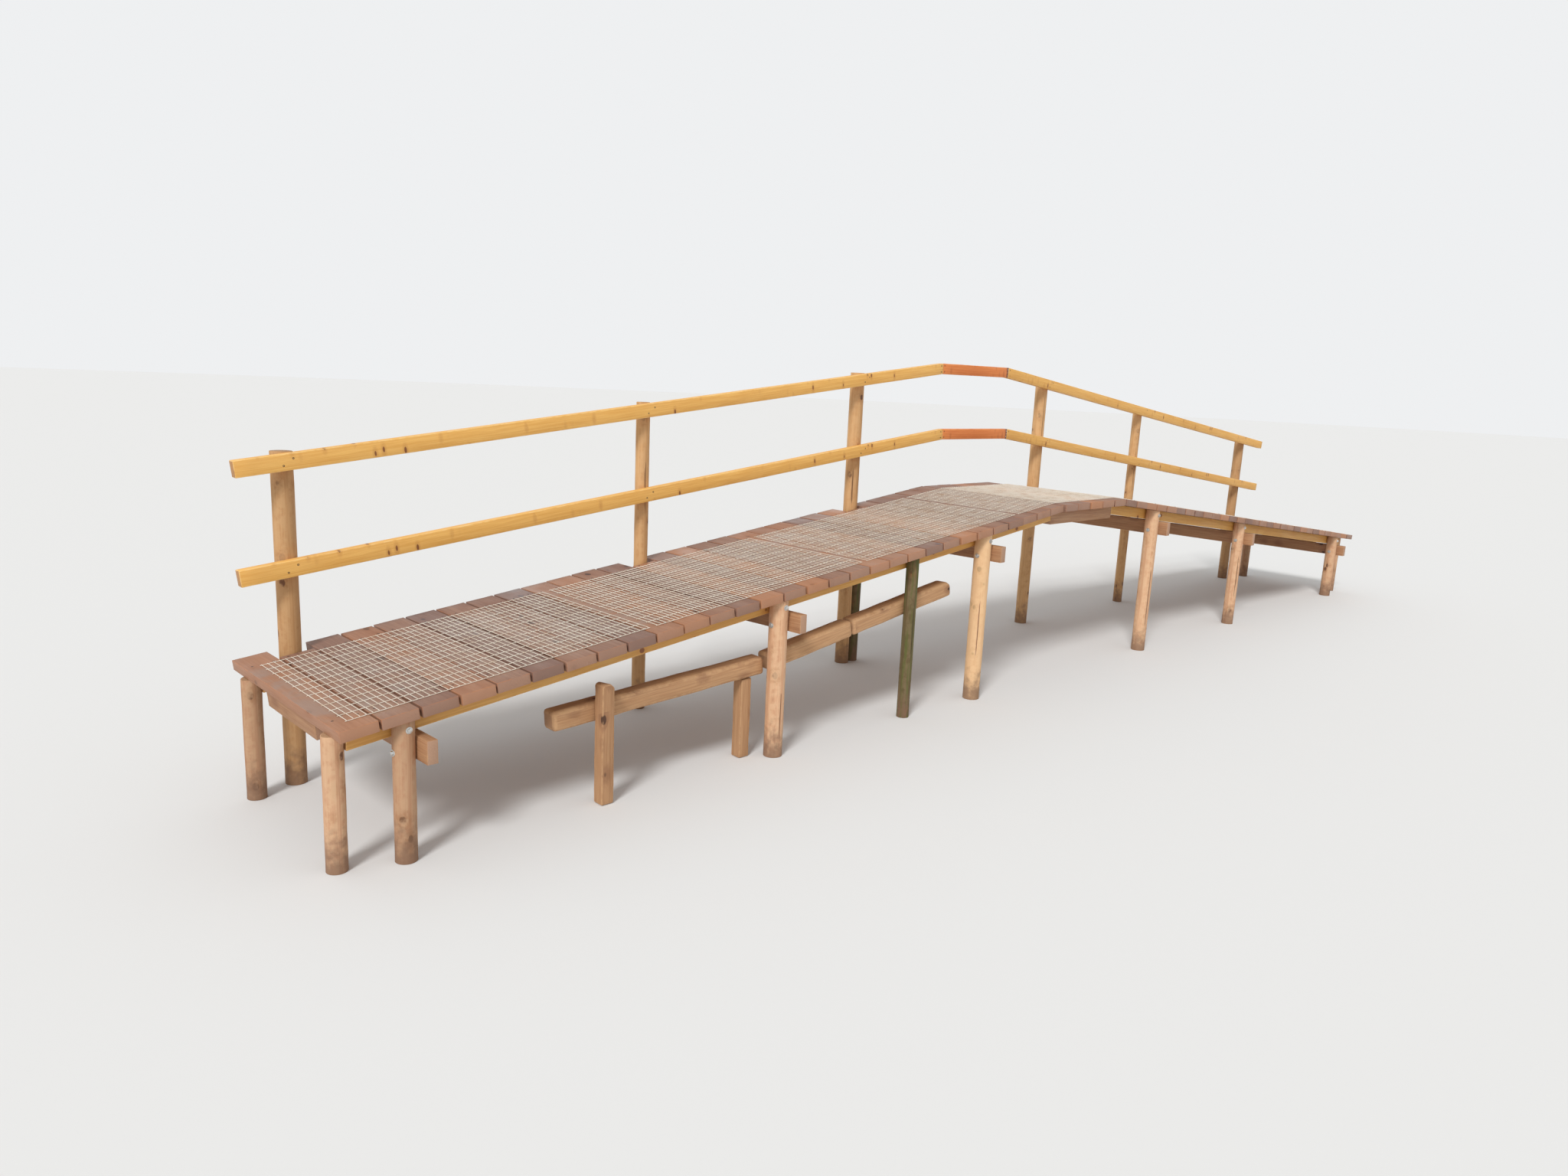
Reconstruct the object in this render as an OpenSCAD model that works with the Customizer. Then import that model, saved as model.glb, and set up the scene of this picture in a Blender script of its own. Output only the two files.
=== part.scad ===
// Humped timber footbridge: two sloping ramps and a short level crest, a handrail on one side.
// X runs along the bridge, the rail side is +Y, and Z is height above a level floor.
// The origin is on the floor below the middle of the crest. Sizes are in millimetres.

/* [Deck] */
// Width of the deck, the length of a board
deck_w = 1200; // [900:50:1800]
// Width of one deck board
board_w = 153; // [120:1:200]
// Gap between two boards
board_gap = 7; // [4:1:20]
// Thickness of a board
board_t = 47; // [35:1:60]
// Boards on each ramp
ramp_boards = 30; // [20:1:36]
// Boards on the level crest
crest_boards = 5; // [3:1:9]
// Slope of the ramps in degrees
slope = 7.1; // [3:0.1:10]
// Height of the deck's low ends above the floor
end_h = 600; // [400:10:900]

/* [Stringers and bearers] */
// Thickness of a lengthwise stringer
stringer_t = 75; // [50:5:100]
// Depth of a ramp stringer
stringer_d = 75; // [70:5:150]
// Depth of a crest stringer
crest_stringer_d = 100; // [75:5:175]
// Thickness of a cross bearer
bearer_t = 47; // [35:1:60]
// Depth of a cross bearer
bearer_d = 100; // [75:5:175]
// How far a bearer's ends stand out past the deck's edges
bearer_out = 45; // [0:5:80]
// Length of the splice plates inside the bends
splice_l = 500; // [300:10:700]
// Thickness of a splice plate
splice_t = 35; // [22:1:47]
// Length of the block under the middle of the deck's first and last boards
end_block_l = 540; // [300:10:700]
// Distance of that block's outer face from the deck's end
end_block_inset = 23; // [5:1:40]
// Depth of that block
end_block_d = 90; // [75:5:120]

/* [Posts and piles] */
// Diameter of the thickest of the rail posts and front piles
post_d = 105; // [90:5:125]
// Distance from the deck's rail-side edge to a post's centre
post_inset = 70; // [65:1:100]
// Distance from the deck's front edge to a pile's centre
pile_inset = 58; // [55:1:80]
// Depth of the flats that seat a rail, stringer or bearer in a post
seat = 6; // [3:1:10]
// Clearance of a cut board end from a post
board_clear = 5; // [3:1:10]
// Height of a post's top above the top rail
post_proud = 5; // [3:1:30]
// Diameter of the thin prop between two trestles
prop_d = 75; // [60:5:90]
// Distance from the prop to the front pile after it
prop_back = 650; // [400:10:900]
// Diameter of the old pile under the third bearer's rear end
old_pile_d = 90; // [60:5:100]
// Diameter of the two piles at each end of the deck
end_pile_d = 85; // [70:5:105]
// Distance of an end pile's centre from the deck's end
end_pile_x = 28; // [20:1:60]
// Distance of the first rail post from the deck's left end
left_post_x = 225; // [180:5:400]
// Distance of the last rail post from the deck's right end
right_post_x = 376; // [180:1:500]
// Distance from the rail post before the crest to the crest
before_crest = 863; // [700:1:1000]
// Distance from the crest to the rail post after it
after_crest = 535; // [400:1:800]

/* [Handrail] */
// Height of the top rail's upper edge above the crest
top_rail_h = 885; // [800:5:1100]
// Height of the middle rail's upper edge above the crest
mid_rail_h = 425; // [350:5:550]
// How far to the left of the deck's bends the top rail bends
top_rail_back = 72; // [0:1:120]
// How far to the left of the deck's bends the middle rail bends
mid_rail_back = 24; // [0:1:120]
// Depth of a rail
rail_d = 75; // [60:5:100]
// Thickness of a rail
rail_t = 47; // [30:1:60]

/* [Wire mesh] */
// Bare strip between two mesh panels
mesh_gap = 35; // [10:5:60]
// Distance from the deck's left end to the first panel
mesh_left_end = 60; // [30:10:150]
// Distance from the last panel to the deck's right end
mesh_right_end = 260; // [60:10:300]
// Distance from the deck's front edge to the mesh
mesh_edge = 90; // [60:1:180]
// Distance from the mesh to the deck's rail-side edge
mesh_rear_edge = 181; // [160:1:220]
// Thickness of the mesh, two wires
mesh_t = 5; // [3:1:6]

/* [Edging logs] */
// Width of an edging log
log_w = 100; // [75:5:120]
// Depth of an edging log
log_d = 100; // [60:5:120]
// Slope of the upper two logs in degrees
log_slope = 9; // [0:0.5:12]
// Slope of the left log in degrees
low_log_slope = 3; // [0:0.5:6]
// Depth of the left log's lower end below the deck's ends
low_log_drop = 235; // [180:1:260]
// Depth of the sloping logs' lower end below the deck's ends
high_log_drop = 163; // [150:1:220]
// Size of a peg across
peg_w = 70; // [40:5:80]

/* [Hidden] */

// Round work is drawn with this many sides
$fn = 48;

pitch = board_w + board_gap;
ramp_l = ramp_boards * pitch;
crest_l = crest_boards * pitch;
deck_l = 2 * ramp_l + crest_l;
crest_z = end_h + ramp_l * sin(slope);
half_l = crest_l / 2 + ramp_l * cos(slope);

front_y = -deck_w / 2;
rear_y = deck_w / 2;
post_y = rear_y - post_inset;
pile_y = front_y + pile_inset;
post_r = post_d / 2;

// How much thinner than the thickest each rail post and each front pile is
post_thinner = [8, 25, 9, 7, 23, 9];
pile_thinner = [15, 5, 1, 4, 12, 8];

// Inner faces of the posts and piles, less the seats
rear_seat_y = post_y - post_r + seat;
front_seat_y = pile_y + post_r - seat;

// Ends of the stringers at the flats of the end piles, from the middle of the bridge
stringer_end_x = half_l - end_pile_x - end_pile_d / 2 + seat;

// Places of the posts along X. The middle post of a ramp stands off the middle of its neighbours
post_x1 = left_post_x - half_l;
post_x3 = -crest_l / 2 - before_crest;
post_x4 = crest_l / 2 + after_crest;
post_x6 = half_l - right_post_x;
post_x = [post_x1, (post_x1 + post_x3) / 2 + 88, post_x3, post_x4, (post_x4 + post_x6) / 2 - 340, post_x6];

// How far each front pile stands to the right of its rail post
pile_shift = [45, 95, 60, 0, 0, 0];
pile_x = [for (k = [0 : 5]) post_x[k] + pile_shift[k]];
prop_x = pile_x[2] - prop_back;
old_pile_x = post_x[2] + post_rad(2) + old_pile_d / 2 + board_clear;

// The left log ends short of the middle of the second pile, behind which the middle log begins
left_log_short = 33;
left_log_l = 1250;
left_log_x = pile_x[1] - left_log_short - left_log_l;
middle_log_l = 633;
right_log_l = 870;
log_end_gap = 4;
log_low_z = end_h - low_log_drop;
log_high_z = end_h - high_log_drop;
peg_back = 1045;
prop_peg_back = 145;
peg_top = end_h - 30;

mesh_panels = 7;
mesh_l = (deck_l - mesh_left_end - mesh_right_end - (mesh_panels - 1) * mesh_gap) / mesh_panels;

// Directions that no flat faces, for the rail posts and for the front piles
rear_turn = 135;
front_turn = 225;

// Depth from the deck's top to the underside of the ramp stringers
under_stringer = board_t + stringer_d;

// Radius and middle of rail post k and of front pile k. Their inner faces are in line
function post_rad(k) = (post_d - post_thinner[k]) / 2;
function pile_rad(k) = (post_d - pile_thinner[k]) / 2;
function post_mid(k) = [post_x[k], rear_seat_y - seat + post_rad(k)];
function pile_mid(k) = [pile_x[k], front_seat_y + seat - pile_rad(k)];

// Height of the deck's top at a place along X
function deck_z(x) = abs(x) < crest_l / 2 ? crest_z : crest_z - (abs(x) - crest_l / 2) * tan(slope);

// Height of the top of rail post k
function post_top(k) = deck_z(post_x[k] + top_rail_back) + top_rail_h + post_proud;

// A point at a distance u along the deck's top and h above it, square to it
function pt(u, h) =
    u == ramp_l ? [-crest_l / 2 - h * tan(slope / 2), crest_z + h] :
    u == ramp_l + crest_l ? [crest_l / 2 + h * tan(slope / 2), crest_z + h] :
    u < ramp_l ? [-half_l + u * cos(slope) - h * sin(slope), end_h + u * sin(slope) + h * cos(slope)] :
    u < ramp_l + crest_l ? [u - ramp_l - crest_l / 2, crest_z + h] :
    let (v = deck_l - u)
    [half_l - v * cos(slope) + h * sin(slope), end_h + v * sin(slope) + h * cos(slope)];

// The places along the deck from u0 to u1 where an outline has a corner
function corners(u0, u1) = [u0,
    for (k = [ramp_l, ramp_l + crest_l]) if (u0 < k && k < u1) k,
    u1];

// A strip that follows the deck from u0 to u1, from h0 to h1 above it and from y0 to y1 across
module strip(u0, u1, h0, h1, y0, y1) {
    c = corners(u0, u1);
    n = len(c) - 1;
    translate([0, y1, 0])
        rotate([90, 0, 0])
            linear_extrude(y1 - y0)
                polygon([for (u = c) pt(u, h0), for (i = [n : -1 : 0]) pt(c[i], h1)]);
}

// Whether a board that covers the plan from x0 to x1 meets a rail post
function meets_post(x0, x1) =
    max([for (k = [0 : 5])
        (x0 < post_x[k] + post_rad(k) + board_clear && x1 > post_x[k] - post_rad(k) - board_clear)
            ? 1 : 0]) == 1;

module board(u) {
    x0 = pt(u, 0)[0];
    x1 = pt(u + board_w, 0)[0];
    y1 = meets_post(x0, x1) ? post_y - post_r - board_clear : rear_y;
    strip(u, u + board_w, -board_t, 0, front_y, y1);
}

// The rails and stringers over the whole bridge, which also cut their seats in the posts.
// A rail lies back to the left of the deck's line by that much
module rail_strip(h, back, u0, u1) {
    translate([-back, 0, h])
        strip(u0, u1, -rail_d, 0, rear_seat_y - rail_t, rear_seat_y);
}

// A stringer from u0 to u1 with its front face at y, cut plumb where it meets an end pile
module stringer(u0, u1, d, y) {
    intersection() {
        strip(u0, u1, -board_t - d, -board_t, y, y + stringer_t);
        translate([-stringer_end_x, -deck_w, 0])
            cube([2 * stringer_end_x, 2 * deck_w, crest_z]);
    }
}

module front_stringer(u0, u1, d) {
    stringer(u0, u1, d, front_seat_y);
}

module rear_stringer(u0, u1, d) {
    stringer(u0, u1, d, rear_seat_y - stringer_t);
}

// The space above the boards' undersides, which trims the tops of the piles
module above_boards() {
    strip(-pitch, deck_l + pitch, -board_t, top_rail_h, front_y - pitch, rear_y + pitch);
}

// Height of bearer k's upper edge, at the underside of the front stringer on its lower side
function bearer_top(k) =
    let (x = pile_x[k] + pile_rad(k) - seat)
    deck_z(pile_x[k] < 0 ? x : x + bearer_t) - under_stringer / cos(slope);

// Cross bearer k, seated on the right-hand side of a front pile and its rail post. It is level,
// so where the rail post stands lower down the ramp it is notched under the rear stringer
module bearer(k) {
    a = pile_mid(k) + [pile_rad(k) - seat, 0];
    b = post_mid(k) + [post_rad(k) - seat, 0];
    span = norm(b - a);
    color("peru")
        difference() {
            intersection() {
                translate([a[0], a[1], bearer_top(k) - bearer_d])
                    rotate([0, 0, atan2(b[1] - a[1], b[0] - a[0])])
                        translate([-span, -bearer_t, 0])
                            cube([3 * span, bearer_t, bearer_d]);
                translate([a[0] - span, front_y - bearer_out, 0])
                    cube([2 * span, deck_w + 2 * bearer_out, crest_z]);
            }
            rear_stringer(0, deck_l, stringer_d);
        }
}

// A round post about its middle that is h high, its first side turned away from its flats
module round_post(mid, d, h, turn) {
    translate([mid[0], mid[1], 0])
        rotate([0, 0, turn])
            cylinder(d = d, h = h);
}

module rail_post(k) {
    color("burlywood")
        difference() {
            round_post(post_mid(k), 2 * post_rad(k), post_top(k), rear_turn);
            rail_strip(top_rail_h, top_rail_back, 0, deck_l + top_rail_back);
            rail_strip(mid_rail_h, mid_rail_back, 0, deck_l + mid_rail_back);
            rear_stringer(0, deck_l, stringer_d);
            bearer(k);
        }
}

module front_pile(k) {
    color("tan")
        difference() {
            round_post(pile_mid(k), 2 * pile_rad(k), crest_z, front_turn);
            above_boards();
            front_stringer(0, deck_l, stringer_d);
            bearer(k);
        }
}

module prop_pile() {
    color("olivedrab")
        difference() {
            round_post([prop_x, front_seat_y - prop_d / 2 + seat], prop_d, crest_z, front_turn);
            above_boards();
            front_stringer(0, deck_l, stringer_d);
        }
}

// An older pile, cut off level, that stands beside the third rail post and carries its bearer
module old_rear_pile() {
    color("saddlebrown")
        difference() {
            round_post([old_pile_x, post_y], old_pile_d, crest_z, rear_turn);
            translate([post_x[2], rear_seat_y - deck_w / 2, bearer_top(2) - bearer_d])
                cube([pitch + deck_w, deck_w, crest_z]);
        }
}

// Two thinner piles against the stringers' ends, s is -1 at the left and 1 at the right
module end_piles(s) {
    color("saddlebrown")
        for (y = [front_seat_y + stringer_t / 2, rear_seat_y - stringer_t / 2])
            difference() {
                round_post([s * (half_l - end_pile_x), y], end_pile_d, crest_z, s < 0 ? 180 : 0);
                above_boards();
                translate([-stringer_end_x, -deck_w, 0])
                    cube([2 * stringer_end_x, 2 * deck_w, crest_z]);
            }
}

// A block of stringer timber under the middle of an end board
module end_block(s) {
    u = s < 0 ? end_block_inset : deck_l - end_block_inset - stringer_t;
    color("sienna")
        strip(u, u + stringer_t, -board_t - end_block_d, -board_t, -end_block_l / 2, end_block_l / 2);
}

// Plates on the inner faces of the stringers, bent with them where the ramps meet the crest
module splices() {
    rows = [front_seat_y + stringer_t, rear_seat_y - stringer_t - splice_t];
    color("sienna")
        for (u = [ramp_l, ramp_l + crest_l], y = rows)
            strip(u - splice_l / 2, u + splice_l / 2, -board_t - stringer_d, -board_t, y, y + splice_t);
}

module mesh_panel(i) {
    u0 = mesh_left_end + i * (mesh_l + mesh_gap);
    color("silver")
        strip(u0, u0 + mesh_l, 0, mesh_t, front_y + mesh_edge, rear_y - mesh_rear_edge);
}

// A log that lies along the bridge behind the front piles, with its lower left corner at x and z
module edging_log(x, z, plan_l, tilt, d) {
    color("sienna")
        translate([x, front_seat_y, z])
            rotate([0, -tilt, 0])
                cube([plan_l / cos(tilt) - log_end_gap, log_w, d]);
}

module left_log(d) {
    edging_log(left_log_x, log_low_z, left_log_l, low_log_slope, d);
}

// One peg stands before the left log, the other under its right end
module edging_pegs() {
    color("saddlebrown") {
        translate([pile_x[1] - peg_back, front_seat_y - peg_w / 2, peg_top / 2])
            cube([peg_w, peg_w, peg_top], center = true);
        difference() {
            translate([pile_x[1] - prop_peg_back, front_seat_y + log_w / 2, end_h / 2])
                cube([peg_w, peg_w, end_h], center = true);
            left_log(end_h);
        }
    }
}

color("rosybrown") for (i = [0 : ramp_boards - 1]) board(i * pitch);  // left_ramp_boards
color("rosybrown") for (i = [0 : crest_boards - 1]) board(ramp_l + board_gap / 2 + i * pitch);  // crest_boards_deck
color("rosybrown") for (i = [0 : ramp_boards - 1]) board(deck_l - board_w - i * pitch);  // right_ramp_boards
color("goldenrod") front_stringer(0, ramp_l, stringer_d);  // left_front_stringer
color("goldenrod") rear_stringer(0, ramp_l, stringer_d);  // left_rear_stringer
color("peru") front_stringer(ramp_l, ramp_l + crest_l, crest_stringer_d);  // crest_front_stringer
color("peru") rear_stringer(ramp_l, ramp_l + crest_l, crest_stringer_d);  // crest_rear_stringer
color("goldenrod") front_stringer(ramp_l + crest_l, deck_l, stringer_d);  // right_front_stringer
color("goldenrod") rear_stringer(ramp_l + crest_l, deck_l, stringer_d);  // right_rear_stringer
splices();  // stringer_splices
bearer(0);  // bearer_1
bearer(1);  // bearer_2
bearer(2);  // bearer_3
bearer(3);  // bearer_4
bearer(4);  // bearer_5
bearer(5);  // bearer_6
end_block(-1);  // left_end_block
end_block(1);  // right_end_block
end_piles(-1);  // left_end_piles
end_piles(1);  // right_end_piles
rail_post(0);  // rail_post_1
rail_post(1);  // rail_post_2
rail_post(2);  // rail_post_3
rail_post(3);  // rail_post_4
rail_post(4);  // rail_post_5
rail_post(5);  // rail_post_6
front_pile(0);  // front_pile_1
front_pile(1);  // front_pile_2
front_pile(2);  // front_pile_3
front_pile(3);  // front_pile_4
front_pile(4);  // front_pile_5
front_pile(5);  // front_pile_6
prop_pile();
old_rear_pile();
color("goldenrod") rail_strip(top_rail_h, top_rail_back, top_rail_back, ramp_l);  // top_rail_left
color("chocolate") rail_strip(top_rail_h, top_rail_back, ramp_l, ramp_l + crest_l);  // top_rail_crest
color("goldenrod") rail_strip(top_rail_h, top_rail_back, ramp_l + crest_l, deck_l + top_rail_back);  // top_rail_right
color("goldenrod") rail_strip(mid_rail_h, mid_rail_back, mid_rail_back, ramp_l);  // mid_rail_left
color("chocolate") rail_strip(mid_rail_h, mid_rail_back, ramp_l, ramp_l + crest_l);  // mid_rail_crest
color("goldenrod") rail_strip(mid_rail_h, mid_rail_back, ramp_l + crest_l, deck_l + mid_rail_back);  // mid_rail_right
for (i = [0 : 2]) mesh_panel(i);  // mesh_left
mesh_panel(3);  // mesh_crest
for (i = [4 : mesh_panels - 1]) mesh_panel(i);  // mesh_right
left_log(log_d);  // edging_log_left
edging_log(pile_x[1], log_high_z, middle_log_l, log_slope, log_d);  // edging_log_middle
edging_log(pile_x[1] + middle_log_l, log_high_z + middle_log_l * tan(log_slope),  // edging_log_right
        right_log_l, log_slope, log_d);
edging_pegs();
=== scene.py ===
from math import atan2, cos, pi, radians, sin, tan
from random import Random

import bpy
from mathutils import Matrix, Vector


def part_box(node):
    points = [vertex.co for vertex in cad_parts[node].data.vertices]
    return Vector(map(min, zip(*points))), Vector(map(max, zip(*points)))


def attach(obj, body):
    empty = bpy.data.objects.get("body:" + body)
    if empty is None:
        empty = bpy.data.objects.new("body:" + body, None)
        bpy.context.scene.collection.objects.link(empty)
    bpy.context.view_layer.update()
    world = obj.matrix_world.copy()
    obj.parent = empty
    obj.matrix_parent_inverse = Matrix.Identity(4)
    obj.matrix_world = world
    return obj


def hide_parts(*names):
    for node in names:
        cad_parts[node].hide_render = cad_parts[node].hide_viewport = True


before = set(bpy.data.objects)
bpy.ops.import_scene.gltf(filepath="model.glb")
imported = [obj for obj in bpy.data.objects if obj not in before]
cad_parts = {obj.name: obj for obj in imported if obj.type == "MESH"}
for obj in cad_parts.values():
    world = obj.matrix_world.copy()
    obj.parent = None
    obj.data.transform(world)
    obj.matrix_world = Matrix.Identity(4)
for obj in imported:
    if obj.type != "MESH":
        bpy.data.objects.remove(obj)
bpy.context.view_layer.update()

# The deck's plan: a level crest between two ramps of equal boards
deckPlan = {
    "boardWidth": 0.153,
    "boardGap": 0.007,
    "boardThickness": 0.047,
    "rampBoards": 30,
    "crestBoards": 5,
    "slope": radians(7.1),
}
pitch = deckPlan["boardWidth"] + deckPlan["boardGap"]
halfBoard = deckPlan["boardWidth"] / 2
boardThickness = deckPlan["boardThickness"]
slope = deckPlan["slope"]
rampLength = deckPlan["rampBoards"] * pitch
bendX = deckPlan["crestBoards"] * pitch / 2  # the ramps begin this far from the middle
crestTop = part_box("crest_boards_deck")[1].z
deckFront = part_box("left_ramp_boards")[0].y
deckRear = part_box("left_ramp_boards")[1].y
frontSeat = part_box("left_front_stringer")[0].y  # the stringers' outer faces
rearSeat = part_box("left_rear_stringer")[1].y

# Where each part of the deck turns down, and by how much
deckParts = {"left": (-bendX, -slope), "crest": (0, 0), "right": (bendX, slope)}
trestles = (1, 2, 3, 4, 5, 6)
turnSign = -1  # the rotate operator turns the other way from a rotation matrix


def deckTop(x):
    return crestTop - max(abs(x) - bendX, 0) * tan(slope)


def deckSpace(part, rise=0):
    # a flat piece is modelled about the bend and goes to its part of the deck by this
    x, turn = deckParts[part]
    return Matrix.Translation((x, 0, crestTop + rise)) @ Matrix.Rotation(turn, 4, "Y")


def roundPlace(node):
    # the middle and the radius of an upright round timber
    low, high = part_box(node)
    return Vector(((low.x + high.x) / 2, (low.y + high.y) / 2, 0)), (high.x - low.x) / 2


# Selecting, shaping and joining


def selectOnly(*objs):
    bpy.ops.object.select_all(action="DESELECT")
    for obj in objs:
        obj.select_set(True)
    bpy.context.view_layer.objects.active = objs[0]


def applyPlace(obj):
    selectOnly(obj)
    bpy.ops.object.transform_apply(location=True, rotation=True, scale=True)


def placeBy(obj, matrix):
    obj.matrix_world = matrix
    applyPlace(obj)


def newPrimitive(operator, **settings):
    # nothing else is selected, and its place goes into its mesh
    bpy.ops.object.select_all(action="DESELECT")
    operator(**settings)
    obj = bpy.context.object
    applyPlace(obj)
    return obj


def startPicking(kind):
    bpy.ops.object.mode_set(mode="EDIT")
    bpy.ops.mesh.select_mode(type=kind)
    bpy.ops.mesh.select_all(action="DESELECT")
    backToObject()


def pickEdges(obj, wanted):
    startPicking("EDGE")
    points = obj.data.vertices
    for edge in obj.data.edges:
        edge.select = wanted(points[edge.vertices[0]].co, points[edge.vertices[1]].co)
    bpy.ops.object.mode_set(mode="EDIT")


def pickPoints(obj, wanted):
    startPicking("VERT")
    for point in obj.data.vertices:
        point.select = wanted(point.co)
    bpy.ops.object.mode_set(mode="EDIT")


def pickFaces(obj, wanted):
    startPicking("FACE")
    for face in obj.data.polygons:
        face.select = wanted(face.normal)
    bpy.ops.object.mode_set(mode="EDIT")


def backToObject():
    bpy.ops.object.mode_set(mode="OBJECT")


def bevelEdges(obj, wanted, width):
    pickEdges(obj, wanted)
    bpy.ops.mesh.bevel(offset=width, segments=2, affect="EDGES")
    backToObject()


def subdivideAlong(obj, axis, length, cuts):
    # divides the long edges that run along an axis
    pickEdges(obj, lambda a, b: abs(a[axis] - b[axis]) > length / 2)
    bpy.ops.mesh.subdivide(number_cuts=cuts)
    backToObject()


def turnDown(obj, side, limit, centre):
    # turns what lies beyond a bend down along the ramp
    pickPoints(obj, lambda p: p.x * side > limit)
    bpy.ops.transform.rotate(value=side * slope * turnSign, orient_axis="Y", center_override=centre)
    backToObject()


def applyModifiers(obj):
    selectOnly(obj)
    for modifier in list(obj.modifiers):
        bpy.ops.object.modifier_apply(modifier=modifier.name)


def cloudShift(obj, size, moves, midLevel=0.5, detail=2):
    # soft noise moves the surface by a strength along each direction
    texture = bpy.data.textures.new("clouds", "CLOUDS")
    texture.noise_scale = size
    texture.noise_depth = detail
    for direction, strength in moves.items():
        shift = obj.modifiers.new("shift", "DISPLACE")
        shift.texture = texture
        shift.texture_coords = "LOCAL"
        shift.direction = direction
        shift.strength = strength
        shift.mid_level = midLevel
    applyModifiers(obj)


def weather(obj, sizes):
    # wears the surface inwards only, so that nothing grows past its own solid
    cloudShift(obj, sizes["wearSize"], {"NORMAL": sizes["wear"]}, midLevel=1, detail=3)


def joinAll(objs, name):
    selectOnly(*objs)
    if len(objs) > 1:
        bpy.ops.object.join()
    joined = bpy.context.object
    joined.name = name
    joined.data.name = name
    return joined


def copyOf(obj):
    twin = obj.copy()
    twin.data = obj.data.copy()
    bpy.context.scene.collection.objects.link(twin)
    return twin


def removeAll(*objs):
    for obj in objs:
        bpy.data.objects.remove(obj)


def finishPiece(obj, look, nodes=(), smoothAngle=35):
    selectOnly(obj)
    bpy.ops.object.shade_smooth_by_angle(angle=radians(smoothAngle))
    obj.data.materials.clear()
    obj.data.materials.append(materials[look])
    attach(obj, "root")
    if nodes:
        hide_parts(*nodes)


def finishTimber(timber, node, look, sizes=None, smoothAngle=35):
    if sizes:
        weather(timber, sizes)
    timber.name = f"{node}_timber"
    finishPiece(timber, look, [node], smoothAngle)


# Timber: its grain is kept in the mesh, so the figure of the wood goes with each piece

grainPlan = {
    "endFacing": 0.75,  # a face that looks so squarely along the grain is a cut end
    "flatFacing": 0.97,  # one that looks less squarely along every axis is a worn edge
    "shift": 50,  # metres of timber that the pieces are taken from
}


def acrossOf(along):
    return [axis for axis in (0, 1, 2) if axis != along]


def keepGrain(obj, along, pith, shift, tone):
    # along is the axis of the grain, pith the heart's place across it, shift a random start
    mesh = obj.data
    grain = mesh.attributes.new("grain", "FLOAT_VECTOR", "POINT")
    for point, value in zip(mesh.vertices, grain.data):
        side = [point.co[axis] - heart for axis, heart in zip(acrossOf(along), pith)]
        value.vector = (point.co[along] + shift, *side)
    cutEnd = mesh.attributes.new("cutEnd", "FLOAT", "FACE")
    worn = mesh.attributes.new("worn", "FLOAT", "FACE")
    for face, ending, wearing in zip(mesh.polygons, cutEnd.data, worn.data):
        ending.value = 1.0 if abs(face.normal[along]) > grainPlan["endFacing"] else 0.0
        squarest = max(abs(part) for part in face.normal)
        wearing.value = 1.0 if squarest < grainPlan["flatFacing"] else 0.0
    setTone(obj, tone)


def setTone(obj, tone):
    mesh = obj.data
    values = mesh.attributes.get("tone") or mesh.attributes.new("tone", "FLOAT", "POINT")
    values.data.foreach_set("value", [tone] * len(mesh.vertices))


def cutTimber(cuts):
    # each cut takes away what lies beyond a plane, in edit mode
    for place, away in cuts:
        bpy.ops.mesh.select_all(action="SELECT")
        bpy.ops.mesh.bisect(plane_co=place, plane_no=away, use_fill=True, clear_outer=True)


sawing = {"heartAside": 0.04, "heartBelow": (0.06, 0.12)}  # where the heart lies, from the timber's middle


def sawnTimber(low, high, along, cuts=(), edge=0.003, spacing=0.06, across=0, tone=0.5, heart=None,
               seed=0):
    # spacing and across subdivide it along and across the grain, so that it can wear
    low, high = Vector(low), Vector(high)
    size, middle = high - low, (low + high) / 2
    timber = newPrimitive(bpy.ops.mesh.primitive_cube_add, size=1, location=middle, scale=size)
    bpy.ops.object.mode_set(mode="EDIT")
    cutTimber(cuts)
    bpy.ops.mesh.select_all(action="SELECT")
    bpy.ops.mesh.bevel(offset=edge, segments=2, affect="EDGES")
    backToObject()
    subdivideAlong(timber, along, size[along], max(int(size[along] / spacing), 1))
    if across:
        wide = max(acrossOf(along), key=lambda axis: size[axis])
        subdivideAlong(timber, wide, size[wide], across)
    rnd = Random(seed)
    aside, below = sawing["heartAside"], sawing["heartBelow"]
    heart = heart or (rnd.uniform(-aside, aside), -rnd.uniform(*below))
    pith = [middle[axis] + off for axis, off in zip(acrossOf(along), heart)]
    keepGrain(timber, along, pith, rnd.uniform(0, grainPlan["shift"]), tone)
    return timber


turning = {
    "sides": 36,
    "edge": 0.004,
    "spacing": 0.045,
    "heartAside": 0.008,
    "wear": 0.0025,
    "wearSize": 0.09,
}


def roundTimber(x, y, top, radius, cuts=(), cracks=(), tone=0.5, seed=0):
    rnd = Random(seed)
    timber = newPrimitive(
        bpy.ops.mesh.primitive_cylinder_add, vertices=turning["sides"], radius=radius, depth=top,
        location=(x, y, top / 2))
    if cuts:
        bpy.ops.object.mode_set(mode="EDIT")
        cutTimber(cuts)
        backToObject()
    # the top's rim alone is rounded, level or cut along the slope
    bevelEdges(
        timber, lambda a, b: max(a.z, b.z) > 0.01 and abs(a.z - b.z) < 0.2 * radius, turning["edge"])
    subdivideAlong(timber, 2, top, int(top / turning["spacing"]))
    aside = turning["heartAside"]
    pith = (x + rnd.uniform(-aside, aside), y + rnd.uniform(-aside, aside))
    keepGrain(timber, 2, pith, rnd.uniform(0, grainPlan["shift"]), tone)
    weather(timber, turning)
    for angle, low, high in cracks:
        crackTimber(timber, x, y, radius, radians(angle), low, high)
    return timber


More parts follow.
